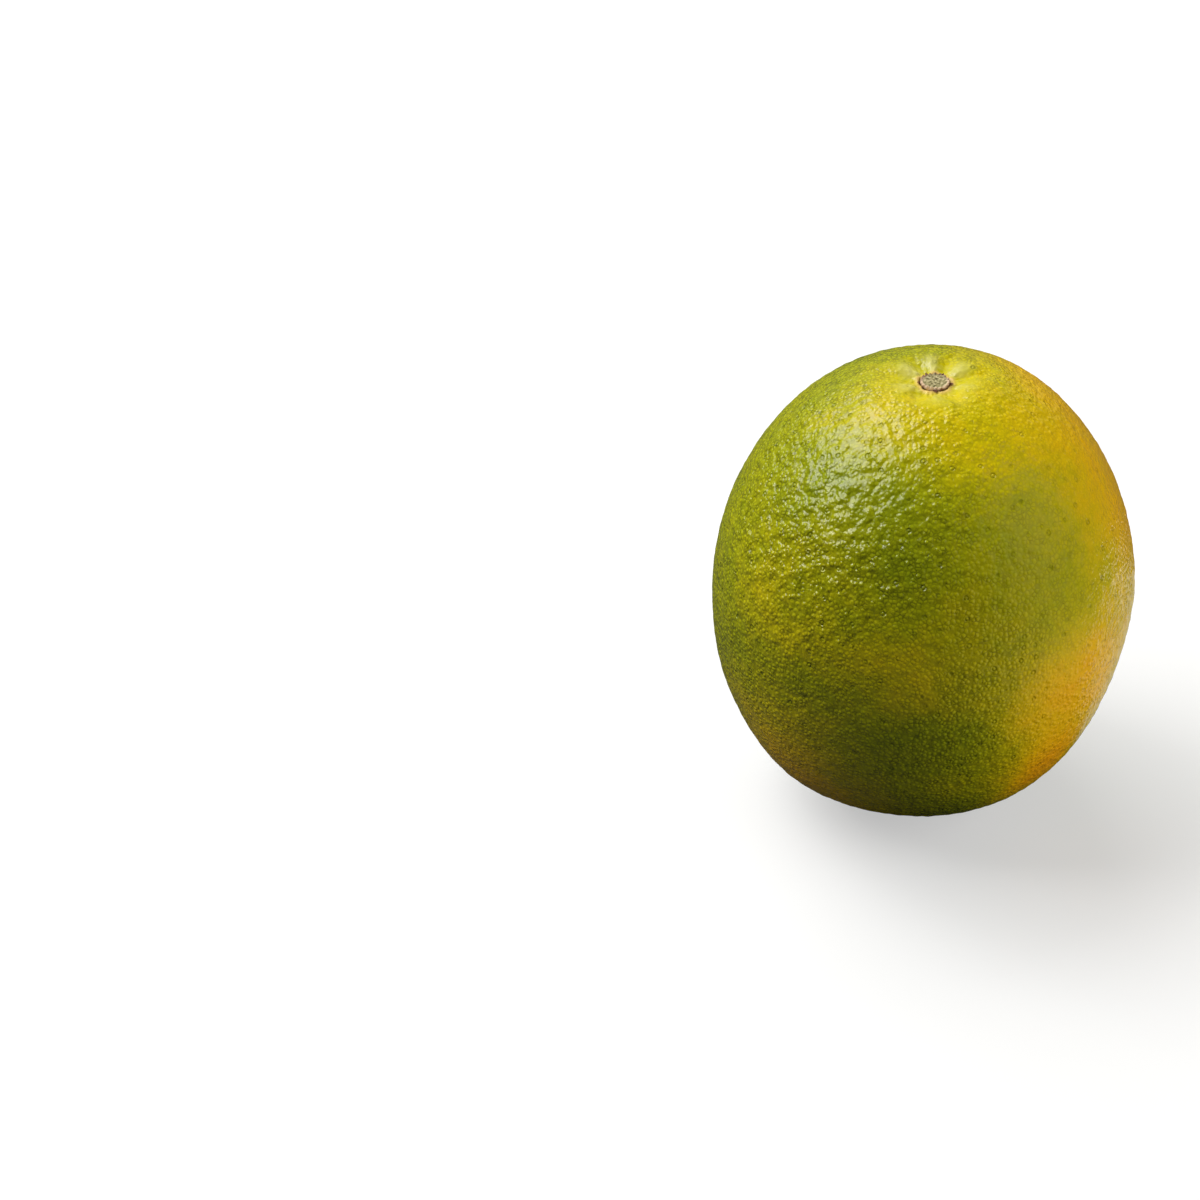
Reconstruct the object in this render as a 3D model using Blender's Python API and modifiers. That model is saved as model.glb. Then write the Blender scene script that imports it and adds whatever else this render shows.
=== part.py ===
"""A sweet orange, picked while ripening from green, standing on its blossom end.

Two solids: the fruit, which grew in one piece, and the dry calyx button that
stayed in the dimple at its stem end. Metres, +Z up along the fruit's core, with
the origin on the surface that the fruit stands on, under the middle of its box.
"""

import math

import bpy
from mathutils import Vector

# Fruit. Heights run up and down from the equator.
EQUATOR_RADIUS = 0.0368
CROWN_HEIGHT = 0.0432  # where the stem end would peak if it had no dimple
BLOSSOM_DEPTH = 0.0427  # where the blossom end would round off if it had no flat
CROWN_POWER = 1.04  # 1 is an ellipse, and more narrows towards the stem
BLOSSOM_POWER = 0.92  # less than 1 keeps the lower half full
CORE_LEAN = 0.018  # how far the core drifts towards +X, per metre of height

# Stem end
DIMPLE_DEPTH = 0.0034
DIMPLE_SPREAD = 0.0055
FURROW_DEPTH = 0.0006
FURROW_WIDTH = 0.0013
FURROW_START = 0.0032  # distance from the core where the furrows begin
FURROW_AZIMUTHS = (16, 66, 119, 164, 236, 303)  # degrees from +X towards +Y
FURROW_REACHES = (0.0125, 0.0105, 0.0095, 0.0125, 0.0085, 0.0100)

# Blossom end
STAND_RADIUS = 0.0090  # flat that the fruit's weight presses into its skin
SCAR_RADIUS = 0.0021  # where the flower's style fell off
SCAR_FLOOR_RADIUS = 0.0015
SCAR_DEPTH = 0.0005

# Broad swells and hollows, which keep the fruit from being truly round: the
# azimuth and latitude of the middle and how far it spreads, all in degrees, then
# how high it stands in metres.
SWELLS = (
    (50, 46, 18, 0.0003),
    (90, 54, 16, -0.0003),
    (150, 32, 24, -0.0002),
    (174, 9, 22, -0.0003),
    (356, -5, 16, 0.0003),
    (120, -20, 26, 0.0004),
    (343, -21, 14, -0.0004),
    (310, -37, 16, 0.0003),
    (75, -38, 24, -0.0003),
    (224, -44, 18, 0.0006),
    (262, -52, 16, -0.0004),
    (292, -52, 16, 0.0003),
    (20, -58, 22, 0.0003),
)

# Calyx button
BUTTON_RADIUS = 0.0025
BUTTON_RISE = 0.0004  # from the top of the sepals to the button's face
BUTTON_ROUND = 0.0003
SEPAL_REACH = 0.0033  # from the core to a sepal's tip
SEPAL_THICKNESS = 0.0004
SEPAL_SPREAD = 24  # degrees from a sepal's middle to its side
SEPAL_AZIMUTHS = (58, 121, 184, 270, 348)
SKIRT_BETWEEN = 0.15  # how much of a sepal's reach the skirt keeps between sepals
SEAT_GAP = 0.0003  # between the button and the skin under it

# How finely the solids are faceted
FRUIT_STEPS = 72
CROWN_RINGS = 16  # between the core and the end of the longest furrow
FLANK_RINGS = 26  # from there to the flat
BUTTON_STEPS = 90
HARD_EDGE = 40  # degrees between two faces that are shaded as an edge


def clear_scene():
    for obj in list(bpy.data.objects):
        bpy.data.objects.remove(obj)


def new_collection(name):
    collection = bpy.data.collections.new(name)
    bpy.context.scene.collection.children.link(collection)
    return collection


def skin_material(name, color, roughness):
    material = bpy.data.materials.new(name)
    material.use_nodes = True
    shader = material.node_tree.nodes["Principled BSDF"]
    shader.inputs["Base Color"].default_value = (*color, 1.0)
    shader.inputs["Roughness"].default_value = roughness
    shader.inputs["Metallic"].default_value = 0.0
    return material


def turned_mesh(name, profile, steps):
    """The solid that a profile of (radius, height) points sweeps round the core."""
    outline = bpy.data.meshes.new(name + "_outline")
    edges = [(i, i + 1) for i in range(len(profile) - 1)]
    outline.from_pydata([(r, 0.0, z) for r, z in profile], edges, [])
    guide = bpy.data.objects.new(name + "_outline", outline)
    bpy.context.scene.collection.objects.link(guide)
    screw = guide.modifiers.new("Turn", "SCREW")
    screw.axis = "Z"
    screw.steps = steps
    screw.render_steps = steps
    screw.use_merge_vertices = True
    screw.merge_threshold = 1e-6
    graph = bpy.context.evaluated_depsgraph_get()
    mesh = bpy.data.meshes.new_from_object(guide.evaluated_get(graph))
    mesh.name = name
    bpy.data.objects.remove(guide)
    return mesh


def polar(point):
    """Distance from the core and azimuth in degrees."""
    return math.hypot(point.x, point.y), math.degrees(math.atan2(point.y, point.x))


def direction(azimuth, latitude):
    """The unit vector that points that way, from angles in degrees."""
    azimuth = math.radians(azimuth)
    latitude = math.radians(latitude)
    return Vector((
        math.cos(latitude) * math.cos(azimuth),
        math.cos(latitude) * math.sin(azimuth),
        math.sin(latitude),
    ))


def turn_between(first, second):
    """The smaller angle between two azimuths, in degrees."""
    return abs((first - second + 180) % 360 - 180)


def ease(value):
    """0 below 0, 1 above 1, and a smooth step between."""
    value = min(max(value, 0.0), 1.0)
    return value * value * (3 - 2 * value)


def rounded(share, power):
    """Height of a curve of this power at a share of its full radius, as a share."""
    return (1 - share ** (2 / power)) ** (power / 2)


def crown_surface(radius):
    """Height of the stem end above the equator, with its dimple."""
    peak = CROWN_HEIGHT * rounded(radius / EQUATOR_RADIUS, CROWN_POWER)
    return peak - DIMPLE_DEPTH * math.exp(-((radius / DIMPLE_SPREAD) ** 2))


def stand_height():
    """Height of the flat that the fruit stands on, which is below the equator."""
    return -BLOSSOM_DEPTH * rounded(STAND_RADIUS / EQUATOR_RADIUS, BLOSSOM_POWER)


def flank_profile(crown_edge):
    """The outline from the crown's edge, over the equator, to just above the flat."""
    start = math.asin((crown_edge / EQUATOR_RADIUS) ** (1 / CROWN_POWER))
    end = math.pi - math.asin((STAND_RADIUS / EQUATOR_RADIUS) ** (1 / BLOSSOM_POWER))
    points = []
    for i in range(FLANK_RINGS):
        angle = start + (end - start) * i / FLANK_RINGS
        if math.cos(angle) > 0:
            radius = EQUATOR_RADIUS * math.sin(angle) ** CROWN_POWER
            height = crown_surface(radius)
        else:
            radius = EQUATOR_RADIUS * math.sin(angle) ** BLOSSOM_POWER
            height = -BLOSSOM_DEPTH * (-math.cos(angle)) ** BLOSSOM_POWER
        points.append((radius, height))
    return points


def fruit_profile():
    """The fruit's outline from the dimple's floor to the middle of the scar."""
    crown_edge = max(FURROW_REACHES)
    crown = [crown_edge * i / CROWN_RINGS for i in range(CROWN_RINGS)]
    stand = stand_height()
    return [(radius, crown_surface(radius)) for radius in crown] + flank_profile(crown_edge) + [
        (STAND_RADIUS, stand),
        ((STAND_RADIUS + SCAR_RADIUS) / 2, stand),
        (SCAR_RADIUS, stand),
        (SCAR_FLOOR_RADIUS, stand + SCAR_DEPTH),
        (0.0, stand + SCAR_DEPTH),
    ]


def furrow_depth(radius, azimuth):
    """How deep the furrows that run out from the stem are at a place on the crown."""
    deepest = 0.0
    for middle, reach in zip(FURROW_AZIMUTHS, FURROW_REACHES):
        aside = radius * math.radians(turn_between(azimuth, middle))
        across = math.exp(-((aside / FURROW_WIDTH) ** 2))
        half_way = (FURROW_START + reach) / 2
        rise = ease((radius - FURROW_START) / (half_way - FURROW_START) * 2)
        fade = ease((reach - radius) / (reach - half_way))
        deepest = max(deepest, across * rise * fade)
    return FURROW_DEPTH * deepest


def swell_height(point):
    """How far the broad swells lift the skin at a point, away from the middle."""
    lift = 0.0
    for azimuth, latitude, spread, height in SWELLS:
        turn = math.degrees(point.angle(direction(azimuth, latitude)))
        lift += height * math.exp(-((turn / spread) ** 2))
    return lift


def shape_fruit(mesh):
    """Cuts the furrows, raises the swells and leans the core of the turned fruit."""
    stand = stand_height()
    for vertex in mesh.vertices:
        point = vertex.co
        radius, azimuth = polar(point)
        fade = ease((point.z - stand) / STAND_RADIUS)  # leaves the flat as it is
        if point.z > 0:
            point.z -= furrow_depth(radius, azimuth)
            fade *= ease((radius - SEPAL_REACH) / SEPAL_REACH)  # and the button's seat
        point += point.normalized() * swell_height(point) * fade
        point.x += CORE_LEAN * point.z


def button_profile():
    """The button's outline from the middle of its face to the middle of its back."""
    collar = crown_surface(BUTTON_RADIUS) + SEAT_GAP
    tip = crown_surface(SEPAL_REACH) + SEAT_GAP
    face = collar + SEPAL_THICKNESS + BUTTON_RISE
    half_way = BUTTON_RADIUS / 2
    return [
        (0.0, face),
        (BUTTON_RADIUS - BUTTON_ROUND, face),
        (BUTTON_RADIUS, face - BUTTON_ROUND),
        (BUTTON_RADIUS, collar + SEPAL_THICKNESS),
        (SEPAL_REACH, tip + SEPAL_THICKNESS),
        (SEPAL_REACH, tip),
        (BUTTON_RADIUS, collar),
        (half_way, crown_surface(half_way) + SEAT_GAP),
        (0.0, crown_surface(0.0) + SEAT_GAP),
    ]


def shape_button(mesh):
    """Draws the skirt of the turned button in between the sepals, and leans it."""
    skirt = SEPAL_REACH - BUTTON_RADIUS
    for vertex in mesh.vertices:
        point = vertex.co
        radius, azimuth = polar(point)
        if radius > BUTTON_RADIUS + skirt / 2:
            aside = min(turn_between(azimuth, middle) for middle in SEPAL_AZIMUTHS)
            kept = BUTTON_RADIUS + skirt * max(1 - aside / SEPAL_SPREAD, SKIRT_BETWEEN)
            point.z -= crown_surface(radius) - crown_surface(kept)
            point.x *= kept / radius
            point.y *= kept / radius
        point.x += CORE_LEAN * point.z


def add_piece(collection, mesh, material, location):
    """One named object of the part, shaded smooth away from its hard edges."""
    mesh.materials.clear()
    mesh.materials.append(material)
    mesh.shade_smooth()
    mesh.set_sharp_from_angle(angle=math.radians(HARD_EDGE))
    piece = bpy.data.objects.new(mesh.name, mesh)
    piece.location = location
    collection.objects.link(piece)


def middle_of(mesh, axis):
    """The middle of the mesh's box along an axis."""
    values = [vertex.co[axis] for vertex in mesh.vertices]
    return (min(values) + max(values)) / 2


def build():
    clear_scene()
    orange = new_collection("orange")

    fruit = turned_mesh("orange_fruit", fruit_profile(), FRUIT_STEPS)
    shape_fruit(fruit)
    button = turned_mesh("calyx_button", button_profile(), BUTTON_STEPS)
    shape_button(button)

    # Both meshes are measured from the equator, so the same move seats them both.
    home = (-middle_of(fruit, 0), -middle_of(fruit, 1), -stand_height())
    add_piece(orange, fruit, skin_material("peel", (0.34, 0.36, 0.02), 0.42), home)
    add_piece(orange, button, skin_material("calyx", (0.30, 0.25, 0.13), 0.85), home)


build()
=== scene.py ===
import math

import bpy
import numpy as np
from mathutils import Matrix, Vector, noise


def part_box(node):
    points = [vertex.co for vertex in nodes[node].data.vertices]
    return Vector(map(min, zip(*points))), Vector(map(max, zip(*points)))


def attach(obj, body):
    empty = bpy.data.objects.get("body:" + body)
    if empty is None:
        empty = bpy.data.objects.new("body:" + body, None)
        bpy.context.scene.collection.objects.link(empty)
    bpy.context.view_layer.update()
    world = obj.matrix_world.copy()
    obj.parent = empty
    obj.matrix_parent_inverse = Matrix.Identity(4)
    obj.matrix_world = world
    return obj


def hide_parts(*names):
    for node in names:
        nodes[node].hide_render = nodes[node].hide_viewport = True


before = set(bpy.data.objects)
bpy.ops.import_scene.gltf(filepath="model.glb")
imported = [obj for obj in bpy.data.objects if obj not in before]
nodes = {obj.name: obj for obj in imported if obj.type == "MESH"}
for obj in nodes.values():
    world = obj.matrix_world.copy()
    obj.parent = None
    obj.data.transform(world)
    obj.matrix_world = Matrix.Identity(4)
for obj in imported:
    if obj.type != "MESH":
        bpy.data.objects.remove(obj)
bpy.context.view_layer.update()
mm = 0.001
nearby = 0.05 * mm  # a point this near to a height lies at it

fruitLow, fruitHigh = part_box("orange_fruit")
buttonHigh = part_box("calyx_button")[1]
fruitMiddle = (fruitLow + fruitHigh) / 2


def middleAtHeight(node, height):
    # middle of the ring of a node's points that lie at one height
    ring = np.array([v.co for v in nodes[node].data.vertices if abs(v.co.z - height) < nearby])
    return Vector((ring.min(0) + ring.max(0)) / 2)


stemEnd = middleAtHeight("calyx_button", buttonHigh.z)  # middle of the button's face
blossomEnd = middleAtHeight("orange_fruit", fruitLow.z)  # middle of the flat underneath
print("frame loaded, stem end at", [round(x, 5) for x in stemEnd])


def pick(piece):
    # leaves this piece alone selected and active, in object mode
    if bpy.context.object and bpy.context.object.mode != "OBJECT":
        bpy.ops.object.mode_set(mode="OBJECT")
    bpy.ops.object.select_all(action="DESELECT")
    piece.select_set(True)
    bpy.context.view_layer.objects.active = piece


def settle(piece):
    # puts the object at the origin, unturned and unscaled, with its place in its mesh
    pick(piece)
    bpy.ops.object.transform_apply(location=True, rotation=True, scale=True)


def finishWith(piece, kind, **settings):
    # adds one modifier and applies it
    pick(piece)
    modifier = piece.modifiers.new(kind.title(), kind)
    for name, value in settings.items():
        setattr(modifier, name, value)
    bpy.ops.object.modifier_apply(modifier=modifier.name)


def pointsOf(piece):
    points = np.empty(len(piece.data.vertices) * 3)
    piece.data.vertices.foreach_get("co", points)
    return points.reshape(-1, 3)


def movePoints(piece, points):
    piece.data.vertices.foreach_set("co", np.asarray(points, dtype=np.float32).ravel())
    piece.data.update()


def rise(value, low, high):
    # smooth step from 0 at low to 1 at high
    share = np.clip((value - low) / (high - low), 0.0, 1.0)
    return share * share * (3 - 2 * share)


def waves(turn, terms):
    # waves that run round the stem: how many, shift in radians, height
    return sum(height * np.cos(turn * count + shift) for count, shift, height in terms)


def noiseAt(points, size, seed):
    # smooth noise from about -1 to 1, with bumps of about this size
    shift = Vector((seed * 17.3, seed * 5.1, seed * 9.7))
    return np.array([noise.noise(Vector(p) / size + shift) for p in points])


peel = {
    "segments": 384,
    "rings": 254,
    "crowding": 1.22,  # above 1 draws the rings together at the stem end
    "startRadius": 60 * mm,  # of the sphere that is shrunk onto the form
    "formLevels": 3,
    "smoothing": (0.5, 4),  # strength and repeats
    "crownBlend": 20 * mm,  # height above the middle over which the stem end's relief sets in
    "standBlend": 3 * mm,  # height over which the relief sets in above the flat underneath
    "lumps": (9.0 * mm, 0.10 * mm),  # size and height
    "pebbles": (1.3 * mm, 0.13 * mm),
    "pebblesDeeper": 0.08 * mm,  # added where the skin is dimpled
    # most dimpled side: middle in millimetres from the fruit's middle, radius and blur
    "dimpled": ((-20, -18, 27), 22, 11),
    "calmReach": 9.0 * mm,  # pebbles fade this close to the stem
    "collarReach": 2.95 * mm,  # lip of skin that stands round the button
    "collarWidth": 0.42 * mm,
    "collarHeight": 0.50 * mm,
    "collarScallop": 0.16 * mm,
    "collarWaves": ((5, -1.1, 1.0), (11, 2.0, 0.6)),  # each as waves() takes it
    "creaseStart": (2.6 * mm, 4.1 * mm),  # fine creases run out from the button, full from the second
    "creaseReach": 9.0 * mm,
    "creaseHeight": 0.38 * mm,
    "creaseLength": 4.0 * mm,
    "creaseCount": 7.5,
    "creasePaleAndSheen": 0.9,  # how much of a crease's height pales the skin and paints highlight on it
    "bulgeReach": (2.9 * mm, 4.2 * mm, 9.0 * mm),  # where the bulges start, crest and end
    "bulgeHeight": 0.42 * mm,
    # turn in degrees from +X towards +Y, half width, share of the height
    "bulges": ((38, 15, 0.8), (93, 11, 1.0), (144, 17, 0.9), (203, 13, 0.7), (270, 9, 0.45),
               (340, 9, 0.5)),
}


def makeForm():
    # smooth copy of the fruit's solid, for the peel to be wrapped on
    form = nodes["orange_fruit"].copy()
    form.data = form.data.copy()
    form.parent = None
    bpy.context.scene.collection.objects.link(form)
    pick(form)
    bpy.ops.object.mode_set(mode="EDIT")
    bpy.ops.mesh.select_all(action="SELECT")
    bpy.ops.mesh.remove_doubles(threshold=0.001 * mm)
    bpy.ops.mesh.tris_convert_to_quads()
    bpy.ops.object.mode_set(mode="OBJECT")
    finishWith(form, "SUBSURF", levels=peel["formLevels"], render_levels=peel["formLevels"])
    return form


def crowdRings(piece, middle, power):
    # slides the rings of a sphere towards its top
    points = pointsOf(piece) - np.array(middle)
    radius = np.linalg.norm(points, axis=1)
    polar = np.arccos(np.clip(points[:, 2] / radius, -1, 1)) / math.pi
    turn = np.arctan2(points[:, 1], points[:, 0])
    polar = math.pi * polar ** power
    across = radius * np.sin(polar)
    moved = np.stack([across * np.cos(turn), across * np.sin(turn), radius * np.cos(polar)], axis=1)
    movePoints(piece, moved + np.array(middle))


def pebblesOf(points, fromCore, crown):
    # lumps all over, and pebbles that are calmer round the stem
    size, height = peel["lumps"]
    lumps = noiseAt(points, size, 1) * height
    centre, radius, blur = peel["dimpled"]
    away = np.linalg.norm((points - np.array(fruitMiddle)) / mm - np.array(centre), axis=1)
    deeper = (1 - rise(away, radius - blur, radius + blur)) * peel["pebblesDeeper"]
    calm = 1 - crown * (1 - rise(fromCore, 0, peel["calmReach"]))
    size, height = peel["pebbles"]
    return lumps + noiseAt(points, size, 2) * (height + deeper) * calm


def collarOf(turn, fromCore):
    # lip of skin round the button, from 0 to 1
    reach = peel["collarReach"] + peel["collarScallop"] * waves(turn, peel["collarWaves"])
    return np.exp(-(((fromCore - reach) / peel["collarWidth"]) ** 2))


def creasesOf(turn, fromCore):
    # creases that run out from the button, from about -1 to 1
    folds = np.stack([np.cos(turn), np.sin(turn), fromCore / peel["creaseLength"]], axis=1)
    reach = rise(fromCore, *peel["creaseStart"]) * (1 - rise(fromCore, 0, peel["creaseReach"]))
    return noiseAt(folds * peel["creaseCount"], 1.0, 4) * reach


def bulgesOf(turn, fromCore):
    # swellings between the furrows of the dimple, from 0 to 1
    bulges = np.zeros(len(turn))
    for degrees, width, share in peel["bulges"]:
        off = (np.degrees(turn) - degrees + 180) % 360 - 180
        bulges += np.exp(-((off / width) ** 2)) * share
    start, crest, end = peel["bulgeReach"]
    return bulges * rise(fromCore, start, crest) * (1 - rise(fromCore, crest, end))


def raiseSkin(piece):
    # relief of the skin along its normals, and two attributes for the material: pale skin with painted
    # highlight, and the lip
    points = pointsOf(piece)
    normals = np.array([v.normal for v in piece.data.vertices])
    out = points - np.array(stemEnd)
    fromCore = np.hypot(out[:, 0], out[:, 1])
    turn = np.arctan2(out[:, 1], out[:, 0])
    crown = rise(points[:, 2], fruitMiddle.z, fruitMiddle.z + peel["crownBlend"])
    stand = rise(points[:, 2], fruitLow.z, fruitLow.z + peel["standBlend"])

    collar = collarOf(turn, fromCore) * crown
    creases = creasesOf(turn, fromCore) * crown
    bulges = bulgesOf(turn, fromCore) * crown
    lift = pebblesOf(points, fromCore, crown)
    lift += collar * peel["collarHeight"]
    lift += creases * peel["creaseHeight"]
    lift += bulges * peel["bulgeHeight"]
    # pale skin and painted highlight on the bulges and on the raised side of the creases
    pale = np.clip(bulges + peel["creasePaleAndSheen"] * creases, 0, 1)
    for name, values in (("pale", pale), ("lip", collar)):
        shade = piece.data.attributes.new(name, "FLOAT", "POINT")
        shade.data.foreach_set("value", values.astype(np.float32))
    movePoints(piece, points + normals * (lift * stand)[:, None])


def makePeel():
    form = makeForm()
    bpy.ops.mesh.primitive_uv_sphere_add(
        segments=peel["segments"], ring_count=peel["rings"],
        radius=peel["startRadius"], location=fruitMiddle)
    piece = bpy.context.object
    piece.name = "peel"
    settle(piece)
    crowdRings(piece, fruitMiddle, peel["crowding"])
    finishWith(piece, "SHRINKWRAP", target=form, wrap_method="PROJECT",
               use_negative_direction=True, use_positive_direction=False)
    factor, repeats = peel["smoothing"]
    finishWith(piece, "SMOOTH", factor=factor, iterations=repeats)
    bpy.data.objects.remove(form)
    raiseSkin(piece)
    pick(piece)
    bpy.ops.object.shade_smooth()
    print("peel:", len(piece.data.polygons), "faces")
    return piece


calyx = {
    "segments": 168,
    "rings": 60,
    # millimetres of radius and of height above the face, from the middle of the face to the underside
    "outline": ((0.0, -0.22), (0.9, -0.26), (1.7, -0.24), (2.0, -0.16), (2.22, -0.02), (2.36, -0.06),
                (2.46, -0.24), (2.5, -0.6), (2.1, -0.95), (0.0, -1.2)),
    "rim": (2.26, 0.18, -0.3),  # middle, half width and lowest height
    "teeth": 17,
    "toothSlips": ((3, -math.pi / 2, 1.3), (5, 1 - math.pi / 2, 0.8)),  # radians they stray by
    "toothHeight": 0.13,
    "toothReach": 0.08,
    "outOfRound": ((2, 0.7, 0.03), (5, 0.0, 0.02)),
    "corkSize": 0.35 * mm,
    "corkHeight": 0.09 * mm,
    "corkLowest": -0.4 * mm,  # below this the scar is smooth
    # turn in degrees from +X towards +Y, and length
    "sepals": ((58, 0.7 * mm), (121, 0.75 * mm), (184, 0.85 * mm), (270, 0.95 * mm), (348, 0.9 * mm)),
    "sepalStart": 2.25 * mm,
    "sepalCuts": 7,
    "sepalWidth": 1.0 * mm,
    "sepalTaper": (0.93, 1.4),  # share of the width lost at the tip, and the power it grows with
    "sepalThickness": 0.22 * mm,
    "sepalThinning": 0.75,
    "sepalSway": (0.05 * mm, 5),  # sideways wave along it: height, radians
    "sepalLift": 0.08 * mm,
    "sepalCurl": 0.22 * mm,
}


def makeCork():
    # dished woody scar with a toothed rim
    bpy.ops.mesh.primitive_uv_sphere_add(
        segments=calyx["segments"], ring_count=calyx["rings"], radius=1.0, location=(0, 0, 0))
    piece = bpy.context.object
    piece.name = "calyx_cork"
    points = pointsOf(piece)
    share = np.arccos(np.clip(points[:, 2], -1, 1)) / math.pi
    turn = np.arctan2(points[:, 1], points[:, 0])
    steps = np.linspace(0, 1, len(calyx["outline"]))
    radius = np.interp(share, steps, [r for r, z in calyx["outline"]])
    height = np.interp(share, steps, [z for r, z in calyx["outline"]])
    middle, width, lowest = calyx["rim"]
    rim = np.exp(-(((radius - middle) / width) ** 2)) * (height > lowest)
    tooth = rim * np.cos(turn * calyx["teeth"] + waves(turn, calyx["toothSlips"]))
    radius += tooth * calyx["toothReach"]
    height += tooth * calyx["toothHeight"]
    radius *= 1 + waves(turn, calyx["outOfRound"])
    moved = np.stack([radius * np.cos(turn), radius * np.sin(turn), height], axis=1) * mm
    top = moved[:, 2] > calyx["corkLowest"]
    moved[:, 2] += noiseAt(moved, calyx["corkSize"], 5) * calyx["corkHeight"] * top
    movePoints(piece, moved + np.array(stemEnd))
    pick(piece)
    bpy.ops.object.shade_smooth()
    return piece


def surfaceHeight(piece, x, y):
    # height of a piece's top at x, y
    above = Vector((x, y, fruitHigh.z + 10 * mm))
    _, point, _, _ = piece.ray_cast(above, Vector((0, 0, -1)))
    return point.z


def makeSepal(skin, number, degrees, length):
    # dried tip that starts at the button and lies along the skin
    bpy.ops.mesh.primitive_cube_add(size=1.0, location=(0, 0, 0))
    tip = bpy.context.object
    bpy.ops.object.mode_set(mode="EDIT")
    bpy.ops.mesh.subdivide(number_cuts=calyx["sepalCuts"])
    bpy.ops.object.mode_set(mode="OBJECT")
    points = pointsOf(tip)
    along = points[:, 0] + 0.5
    lost, power = calyx["sepalTaper"]
    width = calyx["sepalWidth"] * (1 - along ** power * lost)
    thickness = calyx["sepalThickness"] * (1 - calyx["sepalThinning"] * along)
    sway, radians = calyx["sepalSway"]
    reach = calyx["sepalStart"] + along * length
    aside = points[:, 1] * width + sway * np.sin(along * radians + number)
    turn = math.radians(degrees)
    x = stemEnd.x + reach * math.cos(turn) - aside * math.sin(turn)
    y = stemEnd.y + reach * math.sin(turn) + aside * math.cos(turn)
    z = np.array([surfaceHeight(skin, px, py) for px, py in zip(x, y)])
    z += calyx["sepalLift"] + calyx["sepalCurl"] * along ** 2 + (points[:, 2] + 0.5) * thickness
    movePoints(tip, np.stack([x, y, z], axis=1))
    return tip


def makeSepals(skin):
    tips = [makeSepal(skin, i, *sepal) for i, sepal in enumerate(calyx["sepals"])]
    pick(tips[0])
    for tip in tips:
        tip.select_set(True)
    bpy.ops.object.join()
    piece = bpy.context.object
    piece.name = "calyx_sepals"
    settle(piece)
    finishWith(piece, "SUBSURF", levels=1, render_levels=1)
    pick(piece)
    bpy.ops.object.shade_smooth()
    print("calyx:", len(tips), "sepals round the cork")
    return piece


def newGroup(name, inputs, outputs):
    # a node group with named sockets: (name, type, value)
    tree = bpy.data.node_groups.new(name, "ShaderNodeTree")
    for label, kind, value in inputs:
        socket = tree.interface.new_socket(label, in_out="INPUT", socket_type="NodeSocket" + kind)
        if value is not None:
            socket.default_value = value
    for label, kind in outputs:
        tree.interface.new_socket(label, in_out="OUTPUT", socket_type="NodeSocket" + kind)
    return tree, tree.nodes.new("NodeGroupInput").outputs, tree.nodes.new("NodeGroupOutput").inputs


def put(tree, socket, value):
    # feeds a socket from another socket, or sets it
    if isinstance(value, bpy.types.NodeSocket):
        tree.links.new(value, socket)
    else:
        socket.default_value = value


def addNode(tree, kind, inputs=(), **settings):
    node = tree.nodes.new("ShaderNode" + kind)
    for name, value in settings.items():
        setattr(node, name, value)
    for name, value in dict(inputs).items():
        put(tree, node.inputs[name], value)
    return node


def calc(tree, operation, first, second=0.0, third=0.0):
    return addNode(tree, "Math", {0: first, 1: second, 2: third}, operation=operation).outputs[0]


def fade(tree, value, low, high, toLow=0.0, toHigh=1.0):
    # smooth step from toLow at low to toHigh at high
    node = addNode(tree, "MapRange", {"Value": value, "From Min": low, "From Max": high,
                                      "To Min": toLow, "To Max": toHigh},
                   interpolation_type="SMOOTHSTEP")
    return node.outputs["Result"]


def byMask(tree, mask, without, within):
    # one value where the mask is 0, another where it is 1
    return fade(tree, mask, 0.0, 1.0, without, within)


def blendColors(tree, factor, first, second, mode="MIX"):
    # of this node's sockets, 6, 7 and 2 are the ones for colors
    inputs = {0: factor, 6: first, 7: second}
    return addNode(tree, "Mix", inputs, data_type="RGBA", blend_type=mode).outputs[2]


def rampOf(tree, value, stops):
    node = addNode(tree, "ValToRGB", {"Fac": value})
    ramp = node.color_ramp
    while len(ramp.elements) < len(stops):
        ramp.elements.new(0.5)
    for element, (position, color) in zip(ramp.elements, stops):
        element.position = position
        element.color = (*color, 1.0)
    return node.outputs["Color"]


def placeOf(tree):
    # Object coordinates in millimetres
    where = addNode(tree, "TexCoord").outputs["Object"]
    return addNode(tree, "VectorMath", {0: where, "Scale": 1 / mm}, operation="SCALE").outputs[0]


def patchGroup():
    # round patch with a soft edge
    tree, given, result = newGroup(
        "soft patch",
        [("Place", "Vector", None), ("Centre", "Vector", None), ("Radius", "Float", 10.0),
         ("Blur", "Float", 3.0)],
        [("Mask", "Float")])
    away = addNode(tree, "VectorMath", {0: given["Place"], 1: given["Centre"]}, operation="DISTANCE")
    inner = calc(tree, "SUBTRACT", given["Radius"], given["Blur"])
    outer = calc(tree, "ADD", given["Radius"], given["Blur"])
    put(tree, result["Mask"], fade(tree, away.outputs["Value"], inner, outer, 1.0, 0.0))
    return tree


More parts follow.
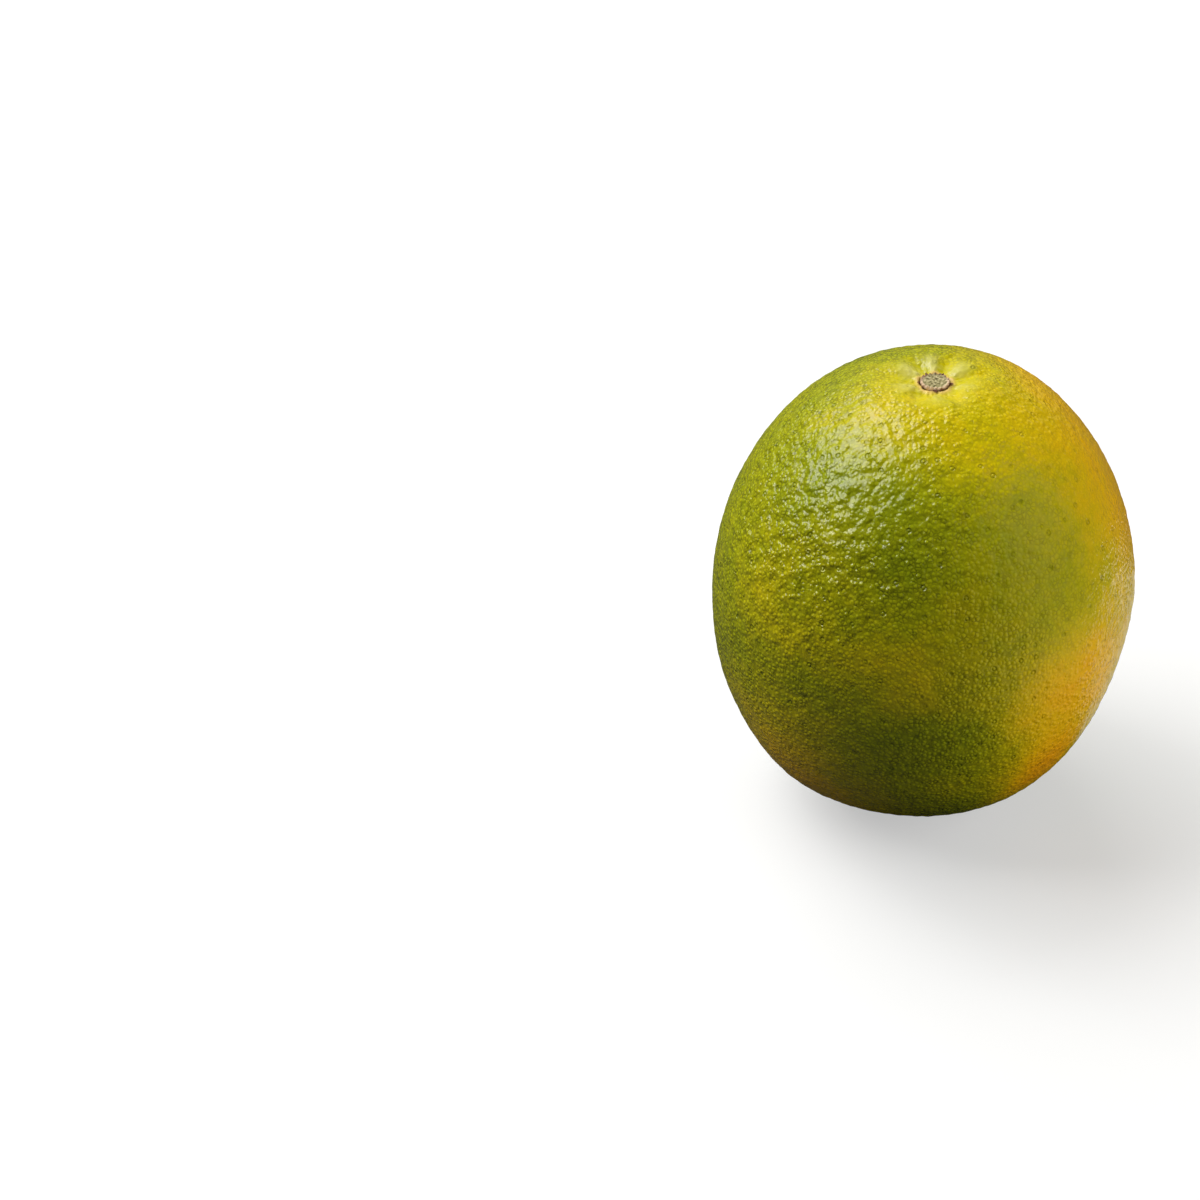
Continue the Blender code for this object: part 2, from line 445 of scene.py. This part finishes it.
def cellGroup():
    # scattered round dots, and a ring round each: sizes are shares of the spacing
    tree, given, result = newGroup(
        "scattered cells",
        [("Place", "Vector", None), ("Scale", "Float", 1.0), ("Size", "Float", 0.4),
         ("Soft", "Float", 0.15), ("Kept", "Float", 1.0), ("Ring", "Float", 0.5),
         ("Wide", "Float", 0.15), ("Gap", "Float", 0.1), ("Randomness", "Float", 1.0)],
        [("Dot", "Float"), ("Ring", "Float"), ("Gap", "Float"), ("Chance", "Float")])
    shape = {"Vector": given["Place"], "Scale": given["Scale"], "Randomness": given["Randomness"]}
    cells = addNode(tree, "TexVoronoi", shape)
    edges = addNode(tree, "TexVoronoi", shape, feature="DISTANCE_TO_EDGE").outputs["Distance"]
    away = cells.outputs["Distance"]
    chance = addNode(tree, "SeparateColor", {"Color": cells.outputs["Color"]}).outputs[0]
    kept = calc(tree, "LESS_THAN", chance, given["Kept"])
    inner = calc(tree, "SUBTRACT", given["Size"], given["Soft"])
    outer = calc(tree, "ADD", given["Size"], given["Soft"])
    dot = fade(tree, away, inner, outer, 1.0, 0.0)
    offRing = calc(tree, "ABSOLUTE", calc(tree, "SUBTRACT", away, given["Ring"]))
    ring = fade(tree, offRing, 0.0, given["Wide"], 1.0, 0.0)
    put(tree, result["Dot"], calc(tree, "MULTIPLY", dot, kept))
    put(tree, result["Ring"], calc(tree, "MULTIPLY", ring, kept))
    put(tree, result["Gap"], fade(tree, edges, 0.0, given["Gap"], 1.0, 0.0))
    put(tree, result["Chance"], chance)
    return tree


def mottleGroup():
    # cloudy variation, from -1 to 1
    tree, given, result = newGroup(
        "mottle",
        [("Place", "Vector", None), ("Scale", "Float", 0.3), ("Detail", "Float", 3.0)],
        [("Value", "Float")])
    cloud = addNode(tree, "TexNoise", {"Vector": given["Place"], "Scale": given["Scale"],
                                       "Detail": given["Detail"]})
    put(tree, result["Value"], calc(tree, "MULTIPLY_ADD", cloud.outputs["Fac"], 4.0, -2.0))
    return tree


groups = {"patch": patchGroup(), "cells": cellGroup(), "mottle": mottleGroup()}


def addGroup(tree, name, **inputs):
    node = tree.nodes.new("ShaderNodeGroup")
    node.node_tree = groups[name]
    for label, value in inputs.items():
        put(tree, node.inputs[label], value)
    return node.outputs


def patchMask(tree, where, centre, radius, blur):
    # soft patch, its centre in millimetres from the fruit's middle
    centre = Vector(centre) + fruitMiddle / mm
    return addGroup(tree, "patch", Place=where, Centre=centre, Radius=radius, Blur=blur)["Mask"]


def newMaterial(name, roughness):
    material = bpy.data.materials.new(name)
    material.use_nodes = True
    shader = material.node_tree.nodes["Principled BSDF"]
    shader.inputs["Roughness"].default_value = roughness
    return material, material.node_tree, shader


def addRelief(tree, shader, height, distance, strength=1.0):
    bump = addNode(tree, "Bump", {"Height": height, "Strength": strength, "Distance": distance})
    put(tree, shader.inputs["Normal"], bump.outputs["Normal"])


rind = {
    "wander": (0.07, 2.5),  # how the patches' edges stray: to the millimetre, millimetres
    "base": 0.17,  # ripeness of the skin where no patch is, from 0 green to 1 orange
    # middle in millimetres from the fruit's middle, radius, blur, and how much riper it is there
    "patches": (
        ((25, 11, 18), 26, 12, 0.56),  # upper right and behind
        ((12, -11, 33), 10, 5, 0.14),  # right of the stem
        ((-2, -7, 33), 6, 17, 0.64),  # round the stem
        ((19, -18, -5), 15, 8, 0.57),  # orange cheek at the lower right
        ((22, -28, -26), 7.5, 9.5, 1.00),
        ((9, -39, -22), 6, 9, 0.40),
        ((21, -35, 5), 30, 17, 0.12),  # right of the front
        ((-7, -45, 7), 6, 12, 0.52),  # olive, front
        ((-21, -21, -27), 14, 18, 0.60),  # lower left
        ((-1, -28, -17), 17, 3, -0.13),  # deep green, lower front
        ((-10, -17, 20), 18, 4, -0.14),  # deep green, upper front
        ((-23, -25, 16), 14, 9, 0.20),  # left
        ((4, 36, -14), 16, 12, 0.50),  # behind
        ((-30, 20, -4), 14, 10, 0.25),
    ),
    "mottles": ((0.16, 0.06), (0.42, 0.045)),  # spots per millimetre, and their share of ripeness
    # linear colors along the ripeness
    "colors": (
        (0.0, (0.228, 0.288, 0.001)), (0.21, (0.390, 0.395, 0.001)), (0.39, (0.575, 0.478, 0.001)),
        (0.57, (0.760, 0.512, 0.001)), (0.75, (0.890, 0.503, 0.001)), (1.0, (0.960, 0.425, 0.002))),
    "roughness": 0.21,
    # places where the skin is smoother: middle, radius, blur, and by how much
    "calm": (((-12, -17, 33), 12, 6, 0.4), ((20, -16, 26), 20, 12, 0.4),
             ((stemEnd - fruitMiddle) / mm, 7, 4, 0.85)),
    # how strongly the marks show, from patch to patch: to the millimetre, detail, least and most
    "patchy": (0.5, 2.0, -0.8, 0.8),
    "glands": (1.25, 0.34, 0.14),  # to the millimetre, radius as a share of their spacing, height
    "glandShuffle": 0.9,  # 0 is an even grid
    "glandGap": 0.25,  # width of the line of painted shade between them, as a share of their spacing
    "gapPatches": (0.4, 1.0),  # least and most of that line, from patch to patch
    "gapShade": (0.1, 0.75, 0.75, 0.15),  # ripeness from and to, darkness of that painted shade at each
    # color of the painted shade in the creases between the glands
    "gapShadeColor": (0.22, 0.22, 0.1, 1),
    "coarse": ((40, -4, -4), 22, 16),  # flank where the glands stand out more and the painted shade between them is darker: middle, radius, blur
    # least and most painted shade between the glands on that flank, from patch to patch
    "coarseGapShade": (0.1, 0.26),
    "coarseHeight": 1.9,  # times the glands' height
    "pits": (0.42, 0.85, 0.15),  # to the millimetre, share that there is, depth
    "pitShuffle": 0.75,
    "pitRing": (0.15, 0.12),  # radius and width as shares of their spacing
    "pitFaintest": 0.35,  # the strength of pits runs down from 1 to this
    "pitShade": (0.2, 0.8, 0.45, 0.12),  # ripeness from and to, darkness of the painted shade in the pits at each
    # color of the painted shade in the pits
    "pitShadeColor": (0.35, 0.45, 0.1, 1),
    "specks": (1.3, 0.35),  # to the millimetre, share that there is
    "speckSize": (0.14, 0.07),  # radius and blur as shares of their spacing
    "speckShade": (0.1, 0.8, 0.0, 0.7),  # patchiness from and to, darkness at each
    "speckTint": (0.25, 0.22, 0.1, 1),
    "dips": (0.44, 1.5, 0.25),  # to the millimetre, detail, depth
    "dipSlope": (-0.9, 0.5),  # the cloud's values at a dip's bottom and brim
    "dipsElsewhere": 0.3,  # share of them off the dimpled side
    "grain": (2.4, 2.0, 0.012),  # to the millimetre, detail, height
    "pale": (0.65, (0.66, 0.62, 0.22, 1)),  # pale skin with painted highlight on the bulges and creases at the stem: share, color
    "lip": (0.8, (0.72, 0.46, 0.17, 1)),
    "scar": (1.5, 0.5, (0.20, 0.115, 0.04, 1)),  # dry dot at the blossom end: radius, blur, color
}


def strayFrom(tree, where):
    # the same place moved about a little, which gives patches wandering edges
    scale, reach = rind["wander"]
    stray = addNode(tree, "TexNoise", {"Vector": where, "Scale": scale, "Detail": 3.0}).outputs["Color"]
    stray = addNode(tree, "VectorMath", {0: stray, 1: [reach * 2] * 3, 2: [-reach] * 3},
                    operation="MULTIPLY_ADD").outputs[0]
    return addNode(tree, "VectorMath", {0: where, 1: stray}, operation="ADD").outputs[0]


def ripenessOf(tree, where, strayed):
    ripe = rind["base"]
    for *patch, change in rind["patches"]:
        ripe = calc(tree, "MULTIPLY_ADD", patchMask(tree, strayed, *patch), change, ripe)
    for scale, share in rind["mottles"]:
        cloud = addGroup(tree, "mottle", Place=where, Scale=scale)["Value"]
        ripe = calc(tree, "MULTIPLY_ADD", cloud, share, ripe)
    return ripe


def marksOf(tree, where, strayed):
    # masks of what lies in the skin
    scale, size, _ = rind["glands"]
    glands = addGroup(tree, "cells", Place=where, Scale=scale, Size=size, Soft=size,
                      Gap=rind["glandGap"], Randomness=rind["glandShuffle"])
    scale, kept, _ = rind["pits"]
    radius, width = rind["pitRing"]
    pits = addGroup(tree, "cells", Place=where, Scale=scale, Kept=kept, Ring=radius, Wide=width,
                    Randomness=rind["pitShuffle"])
    strength = fade(tree, pits["Chance"], 0.0, kept, 1.0, rind["pitFaintest"])
    scale, kept = rind["specks"]
    size, soft = rind["speckSize"]
    specks = addGroup(tree, "cells", Place=where, Scale=scale, Size=size, Soft=soft, Kept=kept)
    uneven = 1.0
    for *patch, share in rind["calm"]:
        less = byMask(tree, patchMask(tree, strayed, *patch), 1.0, 1.0 - share)
        uneven = calc(tree, "MULTIPLY", less, uneven)
    return {
        "gland": glands["Dot"],
        "gap": glands["Gap"],
        "pit": calc(tree, "MULTIPLY", pits["Ring"], strength),
        "speck": specks["Dot"],
        "uneven": uneven,  # 1 where the glands stand out fully, less where the skin is calm
        "coarse": patchMask(tree, strayed, *rind["coarse"]),
    }


def rindColor(tree, where, ripe, marks):
    scale, detail, least, most = rind["patchy"]
    patchy = addGroup(tree, "mottle", Place=where, Scale=scale, Detail=detail)["Value"]
    # the gaps between the gland domes are darkened with painted shade
    gap = calc(tree, "MULTIPLY", marks["gap"], fade(tree, patchy, least, most, *rind["gapPatches"]))
    gap = calc(tree, "MULTIPLY", gap, marks["uneven"])
    gap = calc(tree, "MULTIPLY", gap, fade(tree, ripe, *rind["gapShade"]))
    coarse = calc(tree, "MULTIPLY", marks["gap"], marks["coarse"])
    coarse = calc(tree, "MULTIPLY", coarse, fade(tree, patchy, least, most, *rind["coarseGapShade"]))
    gap = calc(tree, "MAXIMUM", gap, coarse)
    # the pits are darkened with painted shade
    pit = calc(tree, "MULTIPLY", marks["pit"], fade(tree, ripe, *rind["pitShade"]))
    speck = calc(tree, "MULTIPLY", marks["speck"], fade(tree, patchy, *rind["speckShade"]))

    color = rampOf(tree, ripe, rind["colors"])
    # gaps and pits are darkened with painted shade; the specks are the skin's own dark spots
    for mask, tint in ((gap, rind["gapShadeColor"]), (pit, rind["pitShadeColor"]), (speck, rind["speckTint"])):
        color = blendColors(tree, mask, color, tint, "MULTIPLY")
    # pale: pale skin with painted highlight at the stem; lip: the lip's own cream color
    for name in ("pale", "lip"):
        share, tint = rind[name]
        mask = addNode(tree, "Attribute", attribute_name=name).outputs["Fac"]
        color = blendColors(tree, calc(tree, "MULTIPLY", mask, share), color, tint)
    radius, blur, brown = rind["scar"]
    scar = patchMask(tree, where, (blossomEnd - fruitMiddle) / mm, radius, blur)
    return blendColors(tree, scar, color, brown)


def rindRelief(tree, where, strayed, marks):
    # height of the fine relief in millimetres
    domes = calc(tree, "MULTIPLY", marks["gland"], marks["uneven"])
    domes = calc(tree, "MULTIPLY", domes, byMask(tree, marks["coarse"], 1.0, rind["coarseHeight"]))
    scale, detail, dipDepth = rind["dips"]
    swell = addGroup(tree, "mottle", Place=where, Scale=scale, Detail=detail)["Value"]
    dips = fade(tree, swell, *rind["dipSlope"], 1.0, 0.0)
    dimpled = patchMask(tree, strayed, *peel["dimpled"])
    dips = calc(tree, "MULTIPLY", dips, byMask(tree, dimpled, rind["dipsElsewhere"], 1.0))
    scale, detail, grainHeight = rind["grain"]
    grain = addGroup(tree, "mottle", Place=where, Scale=scale, Detail=detail)["Value"]
    relief = 0.0
    for mask, height in ((domes, rind["glands"][2]), (marks["pit"], -rind["pits"][2]),
                         (dips, -dipDepth), (grain, grainHeight)):
        relief = calc(tree, "MULTIPLY_ADD", mask, height, relief)
    return relief


def peelMaterial():
    material, tree, shader = newMaterial("ripening peel", rind["roughness"])
    where = placeOf(tree)
    strayed = strayFrom(tree, where)
    ripe = ripenessOf(tree, where, strayed)
    marks = marksOf(tree, where, strayed)
    put(tree, shader.inputs["Base Color"], rindColor(tree, where, ripe, marks))
    addRelief(tree, shader, rindRelief(tree, where, strayed, marks), mm)
    return material


dried = {
    "corkRoughness": 0.8,
    "corkSpots": (2.0, 4.0),  # to the millimetre, and detail
    "corkSpread": 0.9,  # the spots' values, up and down, that reach the end colors
    "corkColors": ((0.0, (0.06, 0.045, 0.014)), (0.45, (0.25, 0.22, 0.085)), (1.0, (0.55, 0.47, 0.27))),
    "corkRelief": (0.05 * mm, 0.6),  # height and strength
    "rimReach": (1.95, 2.25),  # from the stem's middle in millimetres, where the rim's color sets in
    "rimShare": 0.85,
    "rimBackShade": (-0.6, 1.6, 1.0, 0.15),  # from and to along Y in millimetres, how pale at each: painted shade darkens the back of the rim
    "rimColors": ((0.16, 0.07, 0.03, 1), (0.74, 0.53, 0.36, 1)),  # painted shade, and the pale rim
    "edgeReach": (2.42, 2.54),  # the same, for the color of the outer edge
    "edgeColor": (0.16, 0.06, 0.025, 1),
    "sepalRoughness": 0.7,
    "sepalSpots": (2.2, 3.0),
    "sepalSpread": (0.5, 0.5),  # the spots times the first, plus the second
    "sepalColors": ((0.0, (0.034, 0.008, 0.001)), (0.6, (0.12, 0.034, 0.013)), (1.0, (0.30, 0.13, 0.055))),
    "sepalRelief": (0.05 * mm, 0.5),
}


def corkMaterial():
    material, tree, shader = newMaterial("woody calyx", dried["corkRoughness"])
    where = placeOf(tree)
    out = addNode(tree, "VectorMath", {0: where, 1: stemEnd / mm}, operation="SUBTRACT").outputs[0]
    flat = addNode(tree, "VectorMath", {0: out, 1: (1, 1, 0)}, operation="MULTIPLY").outputs[0]
    fromCore = addNode(tree, "VectorMath", {0: flat}, operation="LENGTH").outputs["Value"]
    scale, detail = dried["corkSpots"]
    spots = addGroup(tree, "mottle", Place=where, Scale=scale, Detail=detail)["Value"]
    cork = fade(tree, spots, -dried["corkSpread"], dried["corkSpread"])
    # the rim is pale at the front and darkened towards the back with painted shade
    rimLitFront = fade(tree, addNode(tree, "SeparateXYZ", {0: out}).outputs["Y"], *dried["rimBackShade"])
    rim = calc(tree, "MULTIPLY", fade(tree, fromCore, *dried["rimReach"]), dried["rimShare"])
    rimColor = blendColors(tree, rimLitFront, *dried["rimColors"])
    color = blendColors(tree, rim, rampOf(tree, cork, dried["corkColors"]), rimColor)
    color = blendColors(tree, fade(tree, fromCore, *dried["edgeReach"]), color, dried["edgeColor"])
    put(tree, shader.inputs["Base Color"], color)
    addRelief(tree, shader, spots, *dried["corkRelief"])
    return material


def sepalMaterial():
    material, tree, shader = newMaterial("dry sepal", dried["sepalRoughness"])
    scale, detail = dried["sepalSpots"]
    spots = addGroup(tree, "mottle", Place=placeOf(tree), Scale=scale, Detail=detail)["Value"]
    shade = calc(tree, "MULTIPLY_ADD", spots, *dried["sepalSpread"])
    put(tree, shader.inputs["Base Color"], rampOf(tree, shade, dried["sepalColors"]))
    addRelief(tree, shader, spots, *dried["sepalRelief"])
    return material


skin = makePeel()
cork = makeCork()
sepals = makeSepals(skin)
for piece, node, slot, material in (
        (skin, "orange_fruit", "peel", peelMaterial()),
        (cork, "calyx_button", "calyx", corkMaterial()),
        (sepals, "calyx_button", "calyx", sepalMaterial())):
    piece.data.materials.clear()
    piece.data.materials.append(material)
    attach(piece, "root")
    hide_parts(node)
print("materials done")


studio = {
    "floorSize": 12.0,
    "floorRoughness": 0.9,
    "floorColor": 0.45,  # near the fruit, with the glow that whitens it to the camera
    "floorGlow": 0.48,
    "floorFade": (0.3, 1.6),  # the floor runs into the backdrop between these distances
    "floorBounce": 0.09,  # how bright it is in bounced light
    "floorMirrored": 0.05,  # and in the shine on the skin
    "backdrop": 1.0,  # brightness of the room to the camera
    "ambient": 0.05,  # and in its light on the fruit
    # place from the fruit's middle, which way it faces (None: at the fruit), width, watts, color, and
    # whether it is seen in the shine; the cards lie just above the floor and face up
    "lights": {
        "key": ((-0.96, 0.24, 1.11), None, 1.2, 20.5, (1.0, 1.0, 0.98), True),
        "spark": ((-1.12, -0.10, 0.88), None, 0.3, 1.8, (1.0, 1.0, 0.98), True),
        "back": ((-0.50, 0.90, 1.05), None, 1.4, 20.0, (1.0, 1.0, 0.98), False),
        "sweep": ((0.0, 1.10, 0.25), None, 1.6, 1.6, (1.0, 1.0, 0.98), True),
        "side": ((1.25, -0.46, 0.55), None, 1.3, 12.5, (1.0, 0.98, 0.95), False),
        "front card": ((0.120, -0.085, -0.0405), (0, 0, 1), 0.12, 0.090, (1.0, 0.97, 0.9), False),
        "low card": ((0.062, 0.030, -0.0405), (0, 0, 1), 0.06, 0.0070, (1.0, 0.93, 0.82), True),
        "outer card": ((0.105, 0.045, -0.0405), (0, 0, 1), 0.03, 0.004, (1.0, 0.93, 0.82), True),
    },
}
view = {
    "elevation": 36,  # degrees above level
    "fieldOfView": 13,  # degrees
    "distance": 917.5 * mm,
    "aimLeft": 56.3 * mm,  # the camera looks this far to the left of the fruit's middle
    "aimBelow": 3.7 * mm,  # and this far below it
}


def makeFloor():
    bpy.ops.mesh.primitive_plane_add(size=studio["floorSize"], location=(0, 0, 0))
    floor = bpy.context.object
    floor.name = "floor"
    material, tree, shader = newMaterial("pale floor", studio["floorRoughness"])
    rays = addNode(tree, "LightPath").outputs
    seen = rays["Is Camera Ray"]
    where = addNode(tree, "TexCoord").outputs["Object"]
    away = addNode(tree, "VectorMath", {0: where}, operation="LENGTH").outputs["Value"]
    color = fade(tree, away, *studio["floorFade"], studio["floorColor"], 0.0)
    glow = fade(tree, away, *studio["floorFade"], studio["floorGlow"], studio["backdrop"])
    bounce = byMask(tree, rays["Is Glossy Ray"], studio["floorBounce"], studio["floorMirrored"])
    put(tree, shader.inputs["Base Color"], byMask(tree, seen, bounce, color))
    shader.inputs["Specular IOR Level"].default_value = 0.0
    shader.inputs["Emission Color"].default_value = (1.0, 1.0, 1.0, 1.0)
    put(tree, shader.inputs["Emission Strength"], calc(tree, "MULTIPLY", seen, glow))
    floor.data.materials.append(material)


def makeWorld():
    world = bpy.data.worlds.new("pale room")
    world.use_nodes = True
    tree = world.node_tree
    back = tree.nodes["Background"]
    seen = addNode(tree, "LightPath").outputs["Is Camera Ray"]
    put(tree, back.inputs["Strength"], byMask(tree, seen, studio["ambient"], studio["backdrop"]))
    back.inputs["Color"].default_value = (1.0, 1.0, 1.0, 1.0)
    bpy.context.scene.world = world


def addLight(name, where, faces, width, watts, color, shines):
    lamp = bpy.data.lights.new(name, "AREA")
    lamp.shape = "SQUARE"
    lamp.size = width
    lamp.energy = watts
    lamp.color = color
    light = bpy.data.objects.new(name, lamp)
    light.location = fruitMiddle + Vector(where)
    back = -Vector(faces) if faces else Vector(where)
    light.rotation_euler = back.to_track_quat("Z", "Y").to_euler()
    light.visible_camera = False
    light.visible_glossy = shines
    bpy.context.scene.collection.objects.link(light)


def makeCamera():
    tilt = math.radians(view["elevation"])
    up = Vector((0, math.sin(tilt), math.cos(tilt)))
    ahead = Vector((0, math.cos(tilt), -math.sin(tilt)))
    aim = fruitMiddle - Vector((view["aimLeft"], 0, 0)) - up * view["aimBelow"]
    lens = bpy.data.cameras.new("camera")
    lens.angle = math.radians(view["fieldOfView"])
    camera = bpy.data.objects.new("camera", lens)
    camera.location = aim - ahead * view["distance"]
    camera.rotation_euler = (math.pi / 2 - tilt, 0, 0)
    bpy.context.scene.collection.objects.link(camera)
    bpy.context.scene.camera = camera


makeFloor()
makeWorld()
for name, values in studio["lights"].items():
    addLight(name, *values)
makeCamera()
bpy.context.scene.view_settings.view_transform = "Standard"
print("studio done")
